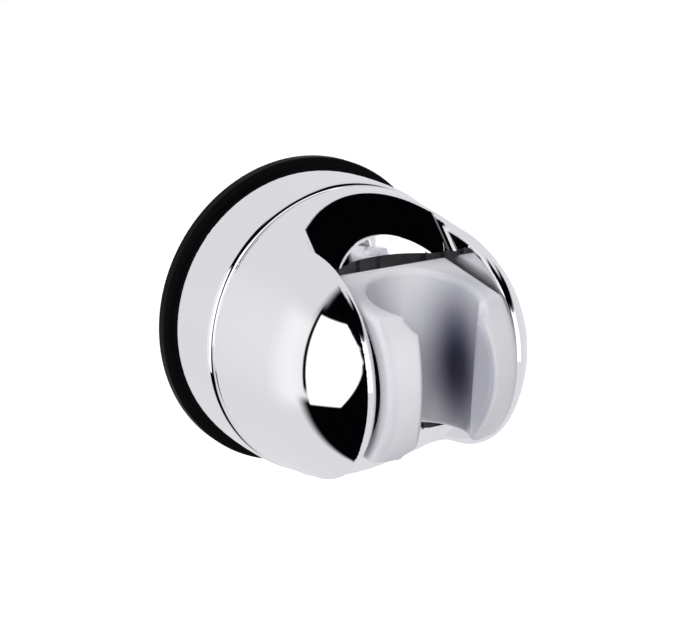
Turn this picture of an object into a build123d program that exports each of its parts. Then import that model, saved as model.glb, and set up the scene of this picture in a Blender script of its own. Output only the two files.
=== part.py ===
"""Wall holder for a hand shower: chromed dome on a collar, with a tilting grey cradle in the dome's slot.

Millimetres. The wall is the plane y = 0 and the holder points to -Y, so "out" below means the distance from
the wall, -y. +Z is up and +X is to the right. The origin is the centre of the wall face.
"""
import os
from math import acos, atan2, cos, hypot, radians, sin, sqrt, tan

from build123d import *

# Cradle and its pivot
socket_top_radius = 12.0
socket_taper = 1.5
socket_side_wall = 4.68
socket_back_wall = 3.5
mouth_share = 0.6952
mouth_set_back = 1.5
mouth_flare = 20.0
horn_past_socket = 0.5
barrel_past_top = 3.0
barrel_crown = 1.7
cradle_top = 19.6
cradle_top_slope = 10.0
cradle_foot_rise = 2.7
cradle_round = 1.5
pivot_ahead = 7.1
socket_ahead = 8.4

# Dome
dome_margin = 8.41
nose_step = 2.3
nose_set = 16.15
skin = 2.5
lip_share = 0.184
brow_from_seam = 4.52
brow_gap = 1.3
brow_overhang = 1.6
valley_round = 1.5
notch_radius = 18.4
notch_room = 2.9
notch_round = 1.0

# Seam between collar and dome
seam_step = 0.4
seam_round = 1.6
seam_gap = 0.05
spigot_length = 4.8
spigot_fit = 0.15

# Collar, and the seal and cup behind it
collar_taper = 0.8
collar_wall = 4.15
collar_foot_round = 0.4
collar_web = 3.0
collar_web_width = 11.65
collar_fit = 0.15
seal_step = 1.9
seal_thickness = 3.0
seal_edge_round = 0.8
cup_floor = 3.5
cup_rim = 2.7
cup_height = 9.5
cup_to_web = 3.0
wall_screw_spacing = 32.0
wall_screw_hole = 5.0
wall_screw_boss = 11.0
wall_screw_boss_height = 1.5

# Pins, washers and pads
pin_radius = 2.5
pin_head_radius = 4.5
pin_head = 1.8
pin_depth = 5.0
pin_end_room = 0.3
pin_socket_fit = 0.05
pin_wall_fit = 0.1
pin_seat_gap = 0.05
spring_thickness = 0.5
spring_height = 1.0
spring_gap = 0.02
spring_fit = 0.2
pad_thickness = 0.9
pad_gap = 0.1
pad_inset = 2.1
pad_wall = 0.9
pad_seat_gap = 0.02

# Carrier
carrier_plate = 2.5
carrier_fit = 0.2
carrier_rib = 1.6
carrier_rib_height = 1.6
carrier_rib_pitch = 5.6
carrier_ribs_each_side = 2
arm_thickness = 2.6
arm_half_height = 4.2
arm_past_pivot = 3.9
nub_radius = 1.5
nub_height = 0.6

# Screws
body_screw_radius = 1.45
body_screw_head_radius = 2.6
body_screw_head = 1.9
body_screw_length = 14.0
body_screw_fit = 0.15
driver_slot = 0.7
driver_share = 0.6
screw_seat_gap = 0.02
thread_fit = 0.03
boss_radius = 3.0
boss_length = 11.0
boss_sink = 0.93
boss_clear = 0.1
boss_end = 1.0
grub_radius = 2.0
grub_out = 6.5
grub_length = 5.5
grub_recess = 0.4
grub_key = 2.0
grub_key_depth = 2.0

# How far a cutting tool runs past the faces it cuts, and how near an edge must lie to be picked
past = 1.0
near_enough = 0.02

# Heights and distances from the middle plane that follow
cradle_bottom = cradle_top - cradle_foot_rise
cradle_half = socket_top_radius + socket_side_wall
slot_half = cradle_half + pad_seat_gap + pad_thickness + pad_gap
wall_outside = slot_half + skin
head_back = wall_outside + pin_seat_gap
arm_inside = head_back + pin_head + spring_height

# Radii that follow
brow_edge_height = cradle_top + brow_gap
collar_foot_radius = hypot(slot_half, brow_edge_height) + dome_margin
collar_front_radius = collar_foot_radius - collar_taper
collar_bore = collar_foot_radius - collar_wall
collar_web_opening = collar_bore - collar_web_width
seal_radius = collar_foot_radius + seal_step
cup_radius = collar_bore - collar_fit
spigot_radius = collar_bore - spigot_fit
spigot_bore = spigot_radius - skin
dome_back_radius = collar_front_radius - seam_step
nose_radius = dome_back_radius - nose_step
socket_bottom_radius = socket_top_radius - socket_taper
barrel_radius = cradle_top + barrel_past_top

# Distances from the wall that follow
collar_web_back = cup_height + cup_to_web
web_front = collar_web_back + collar_web
carrier_front = web_front + carrier_plate
collar_front = web_front + spigot_length
dome_back = collar_front + seam_gap
slot_wall_back = carrier_front + seam_gap
nose_out = dome_back + nose_set
dome_tip = nose_out + nose_radius
pivot_out = nose_out + pivot_ahead
socket_out = pivot_out + socket_ahead
mouth_throat = socket_bottom_radius - mouth_set_back
mouth_half = mouth_share * socket_bottom_radius
cradle_back_out = socket_out - socket_top_radius - socket_back_wall
cradle_front_out = socket_out + socket_top_radius + horn_past_socket
barrel_out = cradle_front_out - barrel_radius
brow_edge_out = cradle_back_out + brow_overhang
notch_back_out = cradle_back_out - notch_room

# The brow runs from near the seam to the slot's back edge; the pad keeps inside the cradle's rounded side
# and leaves a wall behind its pin hole
brow_slope = atan2(dome_back_radius - brow_edge_height, brow_edge_out - dome_back - brow_from_seam)
lip_round = lip_share * dome_margin
pad_radius = cradle_front_out - pivot_out - cradle_round - pad_inset
pad_pin_hole = pin_radius + pin_wall_fit
pad_back_out = pivot_out - pad_pin_hole - pad_wall

# Places of the body screws, beside the slot walls and on a circle just inside the spigot
body_screw_circle = spigot_bore - boss_radius + boss_sink
body_screw_x = wall_outside + boss_radius + boss_clear
body_screw_z = sqrt(body_screw_circle**2 - body_screw_x**2)
screw_places = [(x, z) for x in (-body_screw_x, body_screw_x) for z in (-body_screw_z, body_screw_z)]

pivot_axis = Axis((0, -pivot_out, 0), (1, 0, 0))


def ring_profile(points):
    """Turn a closed (radius, out) outline about the wall axis."""
    outline = Polyline([(r, -d) for r, d in points], close=True)
    return revolve(make_face(outline), Axis.Y)


def disc(radius, out_from, out_to, x=0.0, z=0.0):
    """A round bar along the wall axis between two distances from the wall."""
    place = Plane((x, -out_from, z), z_dir=(0, -1, 0))
    return extrude(place * Circle(radius), out_to - out_from)


def cross_bar(radius, x_from, x_to, out):
    """A round bar along X."""
    place = Plane((x_from, -out, 0), x_dir=(0, 1, 0), z_dir=(1, 0, 0))
    return extrude(place * Circle(radius), x_to - x_from)


def side_prism(points, half):
    """Extrude a closed (out, z) outline to both sides of the middle plane."""
    outline = Polyline([(-d, z) for d, z in points], close=True)
    return extrude(Plane.YZ * make_face(outline), half, both=True)


def block(x, out, z):
    """A box given as (from, to) pairs; out runs away from the wall."""
    size = (x[1] - x[0], out[1] - out[0], z[1] - z[0])
    middle = ((x[0] + x[1]) / 2, -(out[0] + out[1]) / 2, (z[0] + z[1]) / 2)
    return Pos(*middle) * Box(*size)


def both_sides(shape):
    """The shape and its mirror image in the middle plane."""
    return [shape, mirror(shape, Plane.YZ)]


def circles_of(shape, radius):
    """The shape's round edges of one radius."""
    round_edges = shape.edges().filter_by(GeomType.CIRCLE)
    return round_edges.filter_by(lambda edge: abs(edge.radius - radius) < near_enough)


# Rubber ring on the wall
def make_wall_seal():
    front = seal_thickness
    ring = ring_profile([(collar_bore, 0), (seal_radius, 0), (seal_radius, front), (collar_bore, front)])
    front_rim = circles_of(ring, seal_radius).sort_by(Axis.Y)[0]
    return fillet(front_rim, seal_edge_round)


# Set screw from below; its cone point sits in the cup's rim
def make_grub_screw(clearance=0.0, with_key=True):
    tail = collar_foot_radius - grub_recess
    radius = grub_radius + clearance
    tip = tail - grub_length - clearance
    outline = Polyline([(0, -tail), (radius, -tail), (radius, -tip - radius), (0, -tip)], close=True)
    screw = revolve(Plane.XZ * make_face(outline), Axis.Z)
    if with_key:
        key = Plane((0, 0, -tail)) * RegularPolygon(grub_key / 2, 6, major_radius=False)
        screw -= extrude(key, grub_key_depth)
    return Pos(0, -grub_out, 0) * screw


# Cup that is screwed to the wall
def make_wall_plate():
    rim_inside = cup_radius - cup_rim
    boss_top = cup_floor + wall_screw_boss_height
    cup = ring_profile([(0, 0), (cup_radius, 0), (cup_radius, cup_height),
                        (rim_inside, cup_height), (rim_inside, cup_floor), (0, cup_floor)])
    for x in (-wall_screw_spacing / 2, wall_screw_spacing / 2):
        cup += disc(wall_screw_boss / 2, cup_floor, boss_top, x)
        cup -= disc(wall_screw_hole / 2, -past, boss_top + past, x)
    return cup - make_grub_screw(collar_fit, False)


# Chromed ring with the web that carries the dome
def make_base_collar():
    ring = ring_profile([(collar_bore, seal_thickness), (collar_foot_radius, seal_thickness),
                         (collar_front_radius, collar_front), (collar_bore, collar_front),
                         (collar_bore, web_front), (collar_web_opening, web_front),
                         (collar_web_opening, collar_web_back), (collar_bore, collar_web_back)])
    ring = fillet(circles_of(ring, collar_front_radius), seam_round)
    ring = fillet(circles_of(ring, collar_foot_radius), collar_foot_round)
    for x, z in screw_places:
        ring -= disc(body_screw_radius + body_screw_fit, collar_web_back - past, web_front + past, x, z)
    tapped = Plane((0, -grub_out, -collar_foot_radius - past)) * Circle(grub_radius)
    return ring - extrude(tapped, collar_wall + 2 * past)


def dome_solid(inset, back):
    """The dome as a turned solid: a spigot carried to the back, then a cone that runs into a round nose."""
    radius = nose_radius - inset
    start = dome_back_radius - inset
    inner = spigot_radius - inset
    tip = nose_out + radius
    turn = atan2(start, dome_back - nose_out) - acos(radius / hypot(nose_out - dome_back, start))
    meet = (radius * sin(turn), -nose_out - radius * cos(turn))
    middle = (radius * sin(turn / 2), -nose_out - radius * cos(turn / 2))
    flank = Line((start, -dome_back), meet)
    nose = ThreePointArc(meet, middle, (0, -tip))
    rest = Polyline((0, -tip), (0, -back), (inner, -back), (inner, -dome_back), (start, -dome_back))
    return revolve(make_face([flank, nose, *rest.edges()]), Axis.Y)


def brow_line(height, inset=0.0):
    """Distance from the wall of the sloping brow at a height, moved into the dome by the inset."""
    return brow_edge_out - (height - brow_edge_height) / tan(brow_slope) - inset / sin(brow_slope)


def slot_tool(inset=0.0):
    """What the slot takes out of the dome: the opening before the brows and the room behind the cradle."""
    far = dome_tip + past
    high = dome_back_radius + past
    room = brow_edge_height + inset
    back = web_front - past
    upper = [(far, high), (brow_line(high, inset), high), (brow_line(room, inset), room), (back, room)]
    lower = [(d, -z) for d, z in reversed(upper)]
    return side_prism(upper + lower, slot_half + inset)


def notch_tool(inset=0.0):
    """Round notch through both brows, behind the socket."""
    half = slot_half + inset
    high = dome_back_radius + past
    bar = Pos(0, -notch_back_out - notch_radius, 0) * Cylinder(notch_radius + inset, 2 * high)
    return bar & block((-half, half), (0, dome_tip), (-high, high))


def slot_edges(shape, kind):
    """Edges of the slot: its lips, the brows' upper edges, the valleys beside the brows, or the notches."""
    chosen = []
    for edge in shape.edges():
        middle = edge @ 0.5
        height = abs(middle.Z)
        brow_out = brow_line(height)
        straight = edge.geom_type == GeomType.LINE
        on_wall = abs(abs(middle.X) - slot_half) < near_enough
        on_brow = abs(-middle.Y - brow_out) < near_enough and height > brow_edge_height + near_enough
        fits = {
            "valley": on_wall and on_brow and straight,
            "lip": on_wall and not straight and -middle.Y > brow_out + near_enough,
            "brow": on_brow and not on_wall and not straight,
            "notch": on_brow and edge.geom_type == GeomType.ELLIPSE,
        }
        if fits[kind]:
            chosen.append(edge)
    return chosen


# Chromed dome
def make_dome_housing():
    shell = dome_solid(0.0, web_front)
    shell = fillet(circles_of(shell, dome_back_radius), seam_round) - slot_tool()
    shell = fillet(slot_edges(shell, "valley"), valley_round)
    shell = fillet(slot_edges(shell, "lip") + slot_edges(shell, "brow"), lip_round)
    shell -= notch_tool()
    shell = fillet(slot_edges(shell, "notch"), notch_round)
    shell -= dome_solid(skin, web_front - past) - slot_tool(skin) - notch_tool(skin)
    shell -= disc(spigot_bore, web_front - past, slot_wall_back)
    boss_front = slot_wall_back + boss_length
    for x, z in screw_places:
        shell += disc(boss_radius, slot_wall_back, boss_front, x, z) & dome_solid(skin / 2, web_front)
    for x, z in screw_places:
        shell -= disc(body_screw_radius + thread_fit, web_front, boss_front - boss_end, x, z)
    pin_hole = cross_bar(pin_radius + pin_wall_fit, slot_half - past, wall_outside + past, pivot_out)
    for hole in both_sides(pin_hole):
        shell -= hole
    return shell


# Grey moulding behind the slot; its arms back the pivot pins
def make_pivot_carrier():
    carrier = disc(spigot_bore - carrier_fit, web_front, carrier_front)
    arm = block((arm_inside, arm_inside + arm_thickness), (web_front, pivot_out + arm_past_pivot),
                (-arm_half_height, arm_half_height))
    nub = cross_bar(nub_radius, arm_inside - nub_height, arm_inside + arm_thickness, pivot_out)
    for side in both_sides(arm + nub):
        carrier += side
    rib_half = brow_edge_height - carrier_fit
    for step in range(-carrier_ribs_each_side, carrier_ribs_each_side + 1):
        x = step * carrier_rib_pitch
        carrier += block((x - carrier_rib / 2, x + carrier_rib / 2),
                         (web_front, carrier_front + carrier_rib_height), (-rib_half, rib_half))
    for x, z in screw_places:
        carrier -= disc(body_screw_radius + body_screw_fit, web_front - past, carrier_front + past, x, z)
    return carrier


# Screws that hold collar, carrier and dome together
def make_body_screws():
    seat = collar_web_back - screw_seat_gap
    back = seat - body_screw_head
    narrow = driver_slot / 2
    wide = body_screw_head_radius * driver_share
    screws = []
    for x, z in screw_places:
        screw = disc(body_screw_head_radius, back, seat, x, z)
        screw += disc(body_screw_radius, seat, seat + body_screw_length, x, z)
        for across, up in ((narrow, wide), (wide, narrow)):
            screw -= block((x - across, x + across), (back - past, back + body_screw_head / 2),
                           (z - up, z + up))
        screws.append(screw.solids()[0])
    return Compound(children=screws)


# Headed pin for the right side
def make_pivot_pin():
    pin = cross_bar(pin_radius, cradle_half - pin_depth, head_back, pivot_out)
    return pin + cross_bar(pin_head_radius, head_back, head_back + pin_head, pivot_out)


# Dished washer between the right pin's head and the carrier's arm
def make_spring_washer():
    inner = -pivot_out - nub_radius - spring_fit
    outer = -pivot_out - pin_head_radius + spring_fit
    near = head_back + pin_head + spring_gap
    far = arm_inside - spring_gap
    outline = Polyline((near, outer), (near + spring_thickness, outer),
                       (far, inner), (far - spring_thickness, inner), close=True)
    return revolve(make_face(outline), pivot_axis)


def cradle_top_at(out):
    """Height of the cradle's top, which falls gently to the front."""
    return cradle_top - (out - cradle_back_out) * tan(radians(cradle_top_slope))


def cradle_flats(back=cradle_back_out, inset=0.0):
    """The cradle's flat bottom and top in side view, moved in by the inset and run out past its front."""
    far = cradle_front_out + barrel_crown + past
    low = -cradle_bottom + inset
    back_top = cradle_top_at(back) - inset
    far_top = cradle_top_at(far) - inset
    return make_face(Polyline((-back, low), (-far, low), (-far, far_top), (-back, back_top), close=True))


# Black friction pad on the cradle's right side
def make_friction_pad():
    outline = cradle_flats(pad_back_out, cradle_round + pad_inset) & Pos(-pivot_out, 0) * Circle(pad_radius)
    outline -= Pos(-pivot_out, 0) * Circle(pad_pin_hole)
    return extrude(Plane.YZ.offset(cradle_half + pad_seat_gap) * outline, pad_thickness)


def socket_tool():
    """The tapered round socket, open to the front through the mouth."""
    height = cradle_top + cradle_bottom
    long = height + 2 * past
    widen = past * (socket_top_radius - socket_bottom_radius) / height
    cone = Cone(socket_bottom_radius - widen, socket_top_radius + widen, long)
    cone = Pos(0, -socket_out, (cradle_top - cradle_bottom) / 2) * cone
    far = cradle_front_out + barrel_crown + past
    flare = tan(radians(mouth_flare))
    narrow = mouth_half - mouth_throat * flare
    wide = mouth_half + (far - socket_out - mouth_throat) * flare
    plan = Polyline((-narrow, -socket_out), (narrow, -socket_out), (wide, -far), (-wide, -far), close=True)
    return cone + Pos(0, 0, -cradle_bottom - past) * extrude(make_face(plan), long)


# Grey tilting cradle
def make_cradle():
    front = -cradle_front_out
    crown = ThreePointArc((-cradle_half, front), (0, front - barrel_crown), (cradle_half, front))
    core = Polyline((cradle_half, front), (cradle_half, -barrel_out), (-cradle_half, -barrel_out),
                    (-cradle_half, front))
    body = revolve(make_face(crown + core), Axis((0, -barrel_out, 0), (1, 0, 0)))
    body &= extrude(Plane.YZ * cradle_flats(), slot_half, both=True)
    body -= socket_tool()
    body = fillet(body.edges(), cradle_round)
    pin_end = cradle_half - pin_depth - pin_end_room
    for hole in both_sides(cross_bar(pin_radius + pin_socket_fit, pin_end, cradle_half + past, pivot_out)):
        body -= hole
    return body


if __name__ == "__main__":
    os.makedirs("parts", exist_ok=True)
    pieces = {
        "wall_seal": make_wall_seal(),
        "wall_plate": make_wall_plate(),
        "base_collar": make_base_collar(),
        "grub_screw": make_grub_screw(),
        "dome_housing": make_dome_housing(),
        "pivot_carrier": make_pivot_carrier(),
        "body_screws": make_body_screws(),
        "cradle": make_cradle(),
    }
    pairs = {
        "pivot_pin": make_pivot_pin(),
        "spring_washer": make_spring_washer(),
        "friction_pad": make_friction_pad(),
    }
    for name, shape in pairs.items():
        pieces[f"{name}_right"], pieces[f"{name}_left"] = both_sides(shape)
    for name, shape in pieces.items():
        export_step(shape, f"parts/{name}.step")
        print(name, len(shape.solids()), round(shape.volume, 1))
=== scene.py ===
"""Looks of a wall holder for a hand shower: chrome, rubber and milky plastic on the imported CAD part.

Metres, in the part's own frame: the wall is the plane y = 0, the holder points to -Y and +Z is up.
"""

from math import cos, radians, sin

import bpy
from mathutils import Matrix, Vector

# Camera, at the photograph's viewing angle
camera_azimuth = -30.4
camera_elevation = 17.0
camera_distance = 0.380
camera_lens = 80.4
camera_sensor = 36.0
camera_near = 0.01
aim_right = 0.0122
aim_up = -0.0028

# Studio, as directions seen from the holder in degrees; azimuth 0 is straight out from the wall and later
# panels cover earlier ones
tent_grey = (0.77, 0.77, 0.795, 1.0)
background_white = (1.0, 1.0, 1.0, 1.0)
panel_white = (1.3, 1.3, 1.3, 1.0)
glow_white = (1.0, 1.0, 1.0, 1.0)
flag_black = (0.001, 0.001, 0.0015, 1.0)
studio_panels = [
    {"shade": glow_white, "left": -128.0, "right": -92.0, "bottom": -30.0, "top": 28.0,
     "side_blur": 20.0, "end_blur": 8.0},
    {"shade": flag_black, "left": -97.0, "right": 78.0, "bottom": 31.0, "top": 68.0,
     "side_blur": 7.0, "end_blur": 7.0},
    {"shade": flag_black, "left": -102.0, "right": -42.0, "bottom": -84.0, "top": -25.0,
     "side_blur": 6.0, "end_blur": 3.5},
    {"shade": flag_black, "left": -66.0, "right": -35.0, "bottom": -34.0, "top": -12.0,
     "side_blur": 0.8, "end_blur": 4.0},
    {"shade": flag_black, "left": -97.0, "right": -35.0, "bottom": -20.0, "top": 40.0,
     "side_blur": 0.8, "end_blur": 4.0},
    {"shade": panel_white, "left": -94.0, "right": -49.5, "bottom": -28.5, "top": 34.0,
     "side_blur": 0.8, "end_blur": 0.8, "bow": 17.5},
    {"shade": panel_white, "left": -35.0, "right": 34.0, "bottom": -15.0, "top": 31.0,
     "side_blur": 0.8, "end_blur": 0.8},
]

# Pale floor; the camera also sees a little glow from it
floor_height = -0.25
floor_half = 3.0
floor_white = (0.9, 0.9, 0.9, 1.0)
floor_glow = 0.6

# Fill lamp for the plastic and the rubber
fill_power = 9.6
fill_size = 0.6
fill_place = (-0.74, -0.47, 0.68)
fill_aim = (0.0, -0.04, 0.0)

# Painted shade: a dark band painted into the plastic's colour deep in the socket's walls, where the black
# friction pads sit behind them, in millimetres; at its reach ahead, behind, above and below the dark band is
# about half gone
millimetres = 1000.0
socket_out = 52.0
socket_wall = (12.2, 19.0)
painted_shade_out = 49.8
painted_shade_height = -2.1
painted_shade_behind = 5.9
painted_shade_ahead = 8.7
painted_shade_above = 16.0
painted_shade_below = 14.0
painted_shade_lean = -0.08
painted_shade_fade = (0.1, 1.95)
painted_shade_side = (2.0, 5.0)

# Softer painted shade on the mouth's flared faces, which look to the middle, and on the horns' outer ends
flare_share = 0.5
flare_out = (58.5, 61.5)
flare_turn = (-0.05, 0.7)
flare_fade = (0.5, 1.6)
horn_end_share = 0.2
horn_end = (14.0, 16.9)
horn_out = (55.0, 61.0)

# Tones, each from dark to light, and roughness ranges
milk = ((0.575, 0.575, 0.605, 1.0), (0.605, 0.605, 0.635, 1.0))
# Painted shade colours: a cool haze round the dark band and its darkest core
painted_shade_haze = (0.13, 0.129, 0.192, 1.0)
painted_shade_darkest = (0.014, 0.0135, 0.030, 1.0)
shadow_power = 3.0
milk_roughness = (0.20, 0.23)
chrome_tone = ((0.885, 0.885, 0.905, 1.0), (0.905, 0.905, 0.92, 1.0))
chrome_roughness = (0.015, 0.03)
drift_range = (0.3, 0.7)
finishes = {
    "black_rubber": {"tone": ((0.0015, 0.0015, 0.002, 1.0), (0.003, 0.003, 0.0035, 1.0)),
                     "roughness": (0.38, 0.5), "grain_size": 0.0003, "relief": 0.15, "specular": 0.03},
    "friction_rubber": {"tone": ((0.0015, 0.0015, 0.002, 1.0), (0.003, 0.003, 0.0035, 1.0)),
                        "roughness": (0.55, 0.7), "grain_size": 0.0003, "relief": 0.2, "specular": 0.01},
    "dark_moulded_plastic": {"tone": ((0.13, 0.13, 0.14, 1.0), (0.17, 0.17, 0.18, 1.0)),
                             "roughness": (0.45, 0.6), "grain_size": 0.0004, "relief": 0.2},
    "grey_moulded_plastic": {"tone": ((0.40, 0.40, 0.42, 1.0), (0.46, 0.46, 0.48, 1.0)),
                             "roughness": (0.4, 0.55), "grain_size": 0.0004, "relief": 0.15},
    "bright_steel": {"tone": ((0.55, 0.55, 0.56, 1.0), (0.64, 0.64, 0.65, 1.0)),
                     "roughness": (0.22, 0.35), "grain_size": 0.0003, "relief": 0.1, "metallic": 1.0},
}
usual_specular = 0.5
finish_drift = 0.006
milk_grain = 0.00025
milk_drift = 0.03
milk_relief = 0.004
chrome_grain = 0.0004
chrome_drift = 0.02
noise_detail = 3.0

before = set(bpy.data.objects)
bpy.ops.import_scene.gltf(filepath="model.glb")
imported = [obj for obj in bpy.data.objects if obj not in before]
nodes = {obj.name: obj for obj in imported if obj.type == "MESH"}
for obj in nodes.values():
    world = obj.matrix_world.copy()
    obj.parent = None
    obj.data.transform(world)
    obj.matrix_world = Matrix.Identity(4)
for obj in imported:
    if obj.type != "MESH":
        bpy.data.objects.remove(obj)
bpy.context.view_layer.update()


def add_node(tree, kind, **inputs):
    """A node with the named inputs set or, where the value is another node's output, linked."""
    node = tree.nodes.new(kind)
    for name, value in inputs.items():
        set_input(tree, node.inputs[name.replace("_", " ")], value)
    return node


def set_input(tree, socket, value):
    if isinstance(value, bpy.types.NodeSocket):
        tree.links.new(value, socket)
    else:
        socket.default_value = value


def calculate(tree, operation, *values):
    """A Math node's result; values are numbers or other nodes' outputs."""
    node = tree.nodes.new("ShaderNodeMath")
    node.operation = operation
    for socket, value in zip(node.inputs, values):
        set_input(tree, socket, value)
    return node.outputs[0]


def distance(tree, first, second):
    """Length of the vector with these two parts."""
    squares = [calculate(tree, "MULTIPLY", part, part) for part in (first, second)]
    return calculate(tree, "SQRT", calculate(tree, "ADD", *squares))


def share_of_reach(tree, value, reach_up, reach_down):
    """How much of its reach a value takes up, with one reach above zero and another below."""
    return calculate(tree, "MAXIMUM", calculate(tree, "DIVIDE", value, reach_up),
                     calculate(tree, "DIVIDE", value, -reach_down))


def ramp(tree, value, low, high, out_low=0.0, out_high=1.0):
    """A value carried smoothly from out_low at low to out_high at high."""
    node = tree.nodes.new("ShaderNodeMapRange")
    node.interpolation_type = "SMOOTHSTEP"
    for name, number in (("Value", value), ("From Min", low), ("From Max", high),
                         ("To Min", out_low), ("To Max", out_high)):
        set_input(tree, node.inputs[name], number)
    return node.outputs["Result"]


def blend_colours(tree, share, first, second):
    """The first colour where share is 0, the second where it is 1."""
    node = tree.nodes.new("ShaderNodeMix")
    node.data_type = "RGBA"
    set_input(tree, node.inputs["Factor"], share)
    colours = [socket for socket in node.inputs if socket.type == "RGBA"]
    set_input(tree, colours[0], first)
    set_input(tree, colours[1], second)
    return [socket for socket in node.outputs if socket.type == "RGBA"][0]


def new_group(name, inputs, outputs):
    """A shader node group with named number or vector inputs and number outputs."""
    group = bpy.data.node_groups.new(name, "ShaderNodeTree")
    for label, kind in inputs:
        group.interface.new_socket(label, in_out="INPUT", socket_type=kind)
    for label in outputs:
        group.interface.new_socket(label, in_out="OUTPUT", socket_type="NodeSocketFloat")
    return group, group.nodes.new("NodeGroupInput").outputs, group.nodes.new("NodeGroupOutput").inputs


def place_group(tree, group, **inputs):
    node = tree.nodes.new("ShaderNodeGroup")
    node.node_tree = group
    for name, value in inputs.items():
        set_input(tree, node.inputs[name.replace("_", " ").capitalize()], value)
    return node.outputs


def make_soft_panel():
    """Mask of a soft-edged panel between two azimuths and two elevations; Bow draws in its right corners."""
    number = "NodeSocketFloat"
    labels = ["Azimuth", "Elevation", "Left", "Right", "Bottom", "Top", "Side blur", "End blur", "Bow"]
    group, given, result = new_group("soft_panel", [(label, number) for label in labels], ["Mask"])
    # From -1 at the bottom to 1 at the top
    span = calculate(group, "SUBTRACT", given["Top"], given["Bottom"])
    height = calculate(group, "SUBTRACT", given["Elevation"], given["Bottom"])
    share = calculate(group, "DIVIDE", height, span)
    from_middle = calculate(group, "SUBTRACT", calculate(group, "MULTIPLY", share, 2.0), 1.0)
    squared = calculate(group, "MULTIPLY", from_middle, from_middle)
    drawn_in = calculate(group, "MULTIPLY", squared, given["Bow"])
    bowed_right = calculate(group, "SUBTRACT", given["Right"], drawn_in)
    inside = 1.0
    for across, low, high, blur in (("Azimuth", given["Left"], bowed_right, "Side blur"),
                                    ("Elevation", given["Bottom"], given["Top"], "End blur")):
        low_start = calculate(group, "SUBTRACT", low, given[blur])
        low_end = calculate(group, "ADD", low, given[blur])
        high_start = calculate(group, "SUBTRACT", high, given[blur])
        high_end = calculate(group, "ADD", high, given[blur])
        rise = ramp(group, given[across], low_start, low_end)
        fall = ramp(group, given[across], high_start, high_end, 1.0, 0.0)
        inside = calculate(group, "MULTIPLY", calculate(group, "MULTIPLY", rise, fall), inside)
    set_input(group, result["Mask"], inside)
    return group


def make_studio():
    """Tent round the holder: grey behind, white panels in front, black flags above and below them."""
    world = bpy.data.worlds.new("studio_tent")
    world.use_nodes = True
    bpy.context.scene.world = world
    tree = world.node_tree
    tree.nodes.clear()
    direction = tree.nodes.new("ShaderNodeTexCoord").outputs["Generated"]
    axes = add_node(tree, "ShaderNodeSeparateXYZ", Vector=direction).outputs
    out = calculate(tree, "MULTIPLY", axes["Y"], -1.0)
    azimuth = calculate(tree, "DEGREES", calculate(tree, "ARCTAN2", axes["X"], out))
    elevation = calculate(tree, "DEGREES", calculate(tree, "ARCSINE", axes["Z"]))
    soft_panel = make_soft_panel()
    colour = tent_grey
    for panel in studio_panels:
        edges = {name: value for name, value in panel.items() if name != "shade"}
        mask = place_group(tree, soft_panel, azimuth=azimuth, elevation=elevation, **edges)["Mask"]
        colour = blend_colours(tree, mask, colour, panel["shade"])
    tent = add_node(tree, "ShaderNodeBackground", Color=colour).outputs[0]
    white = add_node(tree, "ShaderNodeBackground", Color=background_white).outputs[0]
    seen = tree.nodes.new("ShaderNodeLightPath").outputs["Is Camera Ray"]
    mix = tree.nodes.new("ShaderNodeMixShader")
    set_input(tree, mix.inputs[0], seen)
    set_input(tree, mix.inputs[1], tent)
    set_input(tree, mix.inputs[2], white)
    result = tree.nodes.new("ShaderNodeOutputWorld")
    tree.links.new(mix.outputs[0], result.inputs["Surface"])


def make_floor():
    """Pale floor well below the holder; white to the camera, with the holder's soft shadow kept."""
    mesh = bpy.data.meshes.new("floor")
    half = floor_half
    corners = [(-half, -half), (half, -half), (half, half), (-half, half)]
    mesh.from_pydata([(x, y, floor_height) for x, y in corners], [], [(0, 1, 2, 3)])
    floor = bpy.data.objects.new("floor", mesh)
    bpy.context.scene.collection.objects.link(floor)
    floor.visible_glossy = False
    material = bpy.data.materials.new("pale_floor")
    material.use_nodes = True
    tree = material.node_tree
    tree.nodes.clear()
    paint = add_node(tree, "ShaderNodeBsdfDiffuse", Color=floor_white).outputs[0]
    seen = tree.nodes.new("ShaderNodeLightPath").outputs["Is Camera Ray"]
    strength = calculate(tree, "MULTIPLY", seen, floor_glow)
    glow = add_node(tree, "ShaderNodeEmission", Color=floor_white, Strength=strength)
    both = tree.nodes.new("ShaderNodeAddShader")
    tree.links.new(paint, both.inputs[0])
    tree.links.new(glow.outputs[0], both.inputs[1])
    result = tree.nodes.new("ShaderNodeOutputMaterial")
    tree.links.new(both.outputs[0], result.inputs["Surface"])
    mesh.materials.append(material)


def make_fill_lamp():
    lamp = bpy.data.lights.new("fill", "AREA")
    lamp.energy = fill_power
    lamp.shape = "DISK"
    lamp.size = fill_size
    holder = bpy.data.objects.new("fill", lamp)
    holder.location = fill_place
    holder.rotation_euler = (Vector(fill_aim) - Vector(fill_place)).to_track_quat("-Z", "Y").to_euler()
    holder.visible_glossy = False
    bpy.context.scene.collection.objects.link(holder)


def make_camera():
    turn, tilt = radians(camera_azimuth), radians(camera_elevation)
    back = Vector((sin(turn) * cos(tilt), -cos(turn) * cos(tilt), sin(tilt)))
    right = Vector((cos(turn), sin(turn), 0.0))
    up = back.cross(right)
    eye = back * camera_distance
    aim = right * aim_right + up * aim_up
    camera = bpy.data.cameras.new("camera")
    camera.lens = camera_lens
    camera.sensor_width = camera_sensor
    camera.clip_start = camera_near
    holder = bpy.data.objects.new("camera", camera)
    holder.location = eye
    holder.rotation_euler = (aim - eye).to_track_quat("-Z", "Y").to_euler()
    bpy.context.scene.collection.objects.link(holder)
    bpy.context.scene.camera = holder


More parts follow.
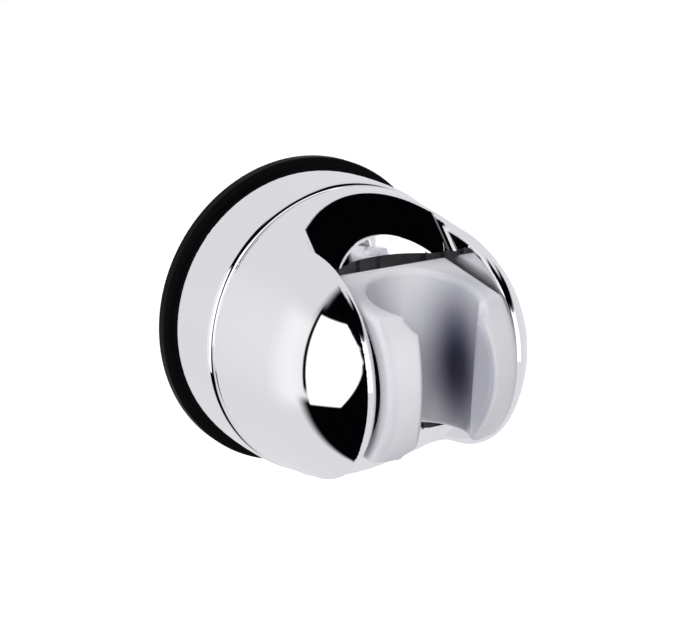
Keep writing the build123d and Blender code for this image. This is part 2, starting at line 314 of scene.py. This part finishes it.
def make_fine_grain():
    """Fine moulded grain with slow drifts of tone; Drift and Grain run from 0 to 1."""
    group, given, result = new_group(
        "fine_grain", [("Place", "NodeSocketVector"), ("Grain size", "NodeSocketFloat"),
                       ("Drift size", "NodeSocketFloat")], ["Grain", "Drift"])
    for label, size in (("Grain", "Grain size"), ("Drift", "Drift size")):
        scale = calculate(group, "DIVIDE", 1.0, given[size])
        noise = add_node(group, "ShaderNodeTexNoise", Vector=given["Place"], Scale=scale, Detail=noise_detail)
        set_input(group, result[label], noise.outputs["Fac"])
    return group


def start_material(name):
    """An empty material with its shader, and the piece's own coordinates in metres."""
    material = bpy.data.materials.new(name)
    material.use_nodes = True
    tree = material.node_tree
    tree.nodes.clear()
    shader = tree.nodes.new("ShaderNodeBsdfPrincipled")
    result = tree.nodes.new("ShaderNodeOutputMaterial")
    tree.links.new(shader.outputs[0], result.inputs["Surface"])
    place = tree.nodes.new("ShaderNodeTexCoord").outputs["Object"]
    return material, tree, shader, place


def add_bump(tree, shader, height, strength, depth):
    bump = add_node(tree, "ShaderNodeBump", Strength=strength, Distance=depth, Height=height)
    tree.links.new(bump.outputs["Normal"], shader.inputs["Normal"])


def make_plain_finish(name, fine_grain):
    """A finish whose tone and gloss drift a little, with a fine grain in relief."""
    look = finishes[name]
    material, tree, shader, place = start_material(name)
    given = place_group(tree, fine_grain, place=place, grain_size=look["grain_size"], drift_size=finish_drift)
    set_input(tree, shader.inputs["Base Color"], blend_colours(tree, given["Drift"], *look["tone"]))
    set_input(tree, shader.inputs["Roughness"], ramp(tree, given["Drift"], *drift_range, *look["roughness"]))
    shader.inputs["Metallic"].default_value = look.get("metallic", 0.0)
    shader.inputs["Specular IOR Level"].default_value = look.get("specular", usual_specular)
    add_bump(tree, shader, given["Grain"], look["relief"], look["grain_size"])
    return material


def painted_shade_on_cradle(tree, place):
    """Mask of the painted shade on the cradle: a band in the socket's walls, the flares and the horns' ends.
    """
    axes = add_node(tree, "ShaderNodeSeparateXYZ", Vector=place).outputs
    aside = calculate(tree, "ABSOLUTE", calculate(tree, "MULTIPLY", axes["X"], millimetres))
    out = calculate(tree, "MULTIPLY", axes["Y"], -millimetres)
    high = calculate(tree, "MULTIPLY", axes["Z"], millimetres)
    from_axis = distance(tree, aside, calculate(tree, "SUBTRACT", out, socket_out))

    rise = calculate(tree, "SUBTRACT", high, painted_shade_height)
    middle = calculate(tree, "ADD", calculate(tree, "MULTIPLY", rise, painted_shade_lean), painted_shade_out)
    along = share_of_reach(tree, calculate(tree, "SUBTRACT", out, middle),
                           painted_shade_ahead, painted_shade_behind)
    upward = share_of_reach(tree, rise, painted_shade_above, painted_shade_below)
    band = ramp(tree, distance(tree, along, upward), *painted_shade_fade, 1.0, 0.0)
    band = calculate(tree, "MULTIPLY", band, ramp(tree, aside, *painted_shade_side))
    band = calculate(tree, "MULTIPLY", band, ramp(tree, from_axis, *socket_wall, 1.0, 0.0))

    normal = tree.nodes.new("ShaderNodeTexCoord").outputs["Normal"]
    sideways = add_node(tree, "ShaderNodeSeparateXYZ", Vector=normal).outputs["X"]
    outward = calculate(tree, "MULTIPLY", sideways, calculate(tree, "SIGN", axes["X"]))
    inward = calculate(tree, "MULTIPLY", outward, -1.0)
    flare = ramp(tree, inward, *flare_turn, 0.0, flare_share)
    flare = calculate(tree, "MULTIPLY", flare, ramp(tree, out, *flare_out))
    flare = calculate(tree, "MULTIPLY", flare, ramp(tree, upward, *flare_fade, 1.0, 0.0))

    end = ramp(tree, aside, *horn_end, 0.0, horn_end_share)
    end = calculate(tree, "MULTIPLY", end, ramp(tree, out, *horn_out))
    return calculate(tree, "MAXIMUM", calculate(tree, "MAXIMUM", band, flare), end)


def make_milky_plastic(fine_grain):
    """Milky grey plastic whose colour holds painted shade: dark in the socket, with a cool haze round it."""
    material, tree, shader, place = start_material("milky_plastic")
    given = place_group(tree, fine_grain, place=place, grain_size=milk_grain, drift_size=milk_drift)
    shade = painted_shade_on_cradle(tree, place)
    plastic = blend_colours(tree, given["Drift"], *milk)
    hazy = blend_colours(tree, shade, plastic, painted_shade_haze)
    core = calculate(tree, "POWER", shade, shadow_power)
    set_input(tree, shader.inputs["Base Color"], blend_colours(tree, core, hazy, painted_shade_darkest))
    set_input(tree, shader.inputs["Roughness"], ramp(tree, given["Drift"], *drift_range, *milk_roughness))
    add_bump(tree, shader, given["Grain"], milk_relief, milk_grain)
    return material


def make_polished_chrome(fine_grain):
    material, tree, shader, place = start_material("polished_chrome")
    given = place_group(tree, fine_grain, place=place, grain_size=chrome_grain, drift_size=chrome_drift)
    set_input(tree, shader.inputs["Base Color"], blend_colours(tree, given["Drift"], *chrome_tone))
    set_input(tree, shader.inputs["Roughness"], ramp(tree, given["Drift"], *drift_range, *chrome_roughness))
    shader.inputs["Metallic"].default_value = 1.0
    return material


def dress(material, *names):
    for name in names:
        slots = nodes[name].data.materials
        slots.clear()
        slots.append(material)


scene = bpy.context.scene
scene.view_settings.view_transform = "Standard"
make_studio()
make_floor()
make_fill_lamp()
make_camera()

fine_grain = make_fine_grain()
dress(make_polished_chrome(fine_grain), "base_collar", "dome_housing")
dress(make_milky_plastic(fine_grain), "cradle")
dress(make_plain_finish("black_rubber", fine_grain), "wall_seal")
dress(make_plain_finish("friction_rubber", fine_grain), "friction_pad_left", "friction_pad_right")
dress(make_plain_finish("dark_moulded_plastic", fine_grain), "wall_plate")
dress(make_plain_finish("grey_moulded_plastic", fine_grain), "pivot_carrier")
dress(make_plain_finish("bright_steel", fine_grain), "grub_screw", "body_screws", "pivot_pin_left",
      "pivot_pin_right", "spring_washer_left", "spring_washer_right")
